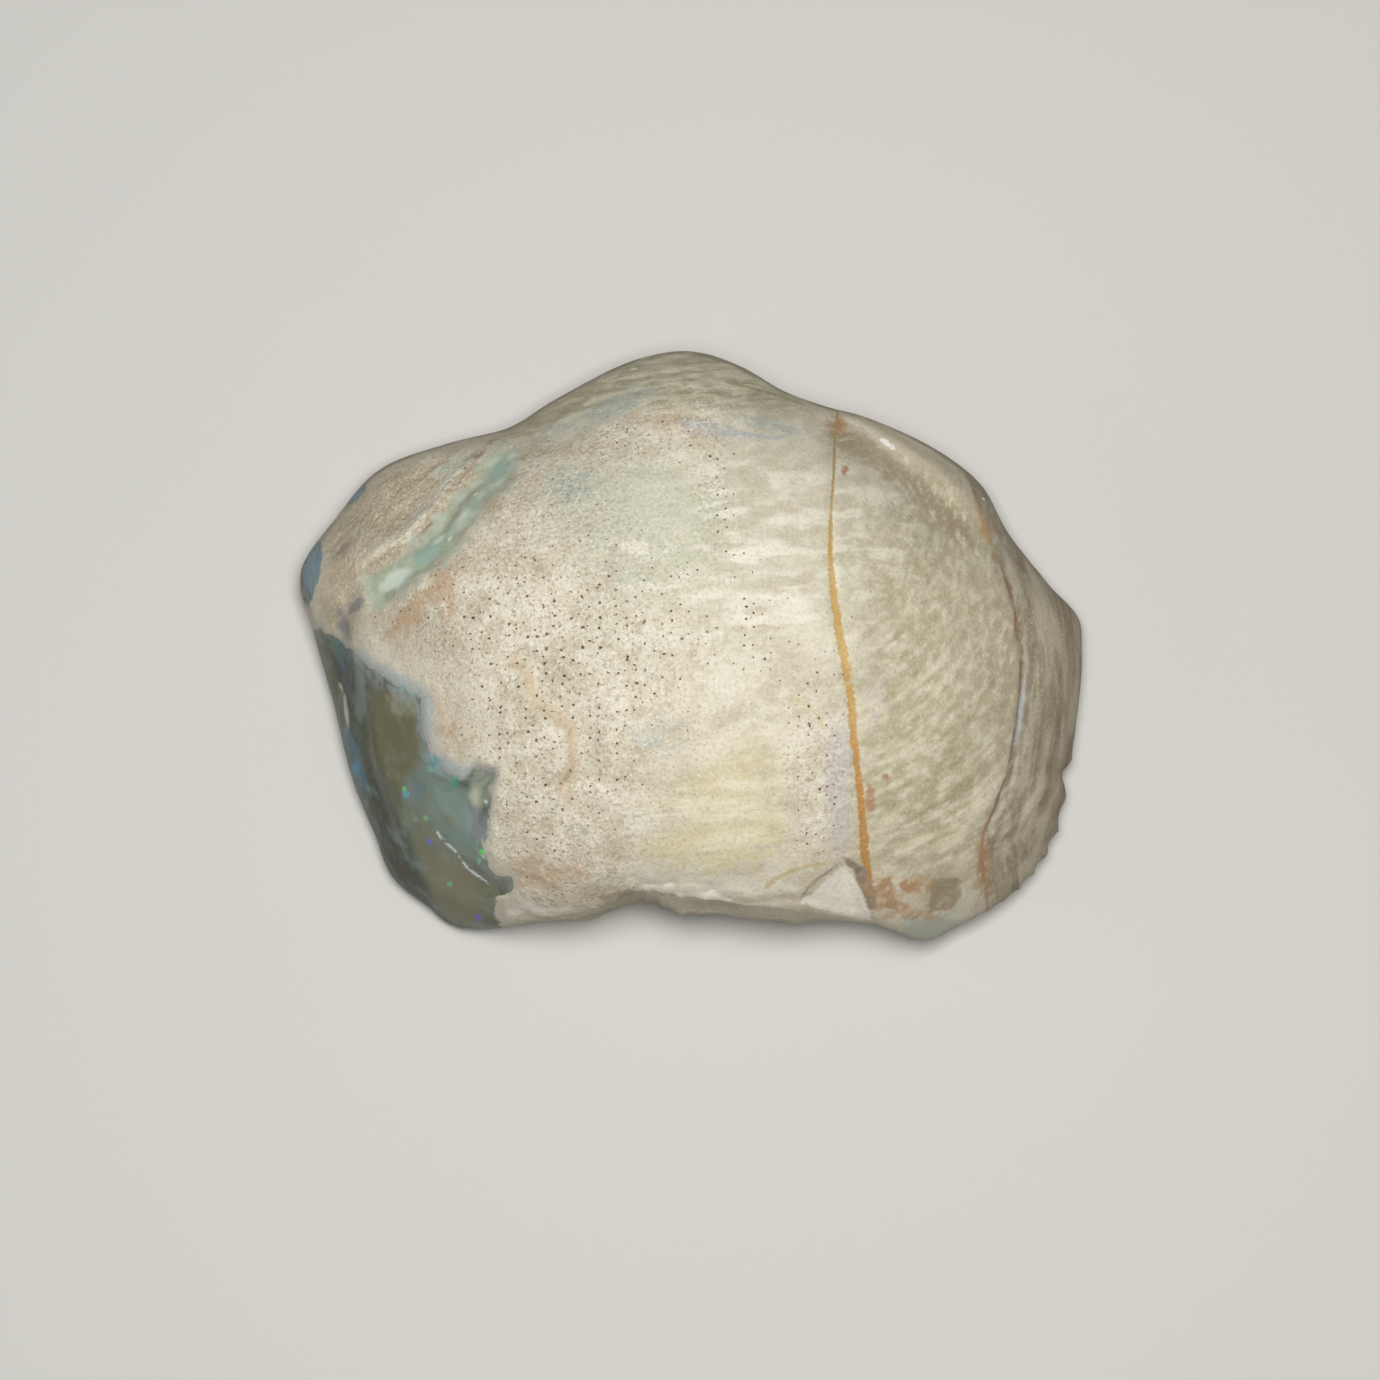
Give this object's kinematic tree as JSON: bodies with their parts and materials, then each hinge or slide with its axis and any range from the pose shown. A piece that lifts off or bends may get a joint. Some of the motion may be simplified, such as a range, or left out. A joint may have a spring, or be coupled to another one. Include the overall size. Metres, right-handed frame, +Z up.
{
  "type": "opalized shell",
  "caption": "Opalized fossil bivalve: a domed chalky shell with a beak, growth lines and a broken opal end, lying on a flat underside.",
  "frame": {"origin": "centre of the underside's box, on the plane that the fossil rests on", "axes": "+X along the shell towards the growth-lined flange, +Y from the broken front towards the beak, +Z up"},
  "size_m": [0.0451, 0.0334, 0.0196],
  "materials": {
    "opalised_shell": "chalky cream shell with a faint satin sheen; glossy translucent grey-green opal where the crust has broken away"
  },
  "bodies": {
    "root": {"opalized_shell": "opalised_shell"}
  },
  "joints": []
}
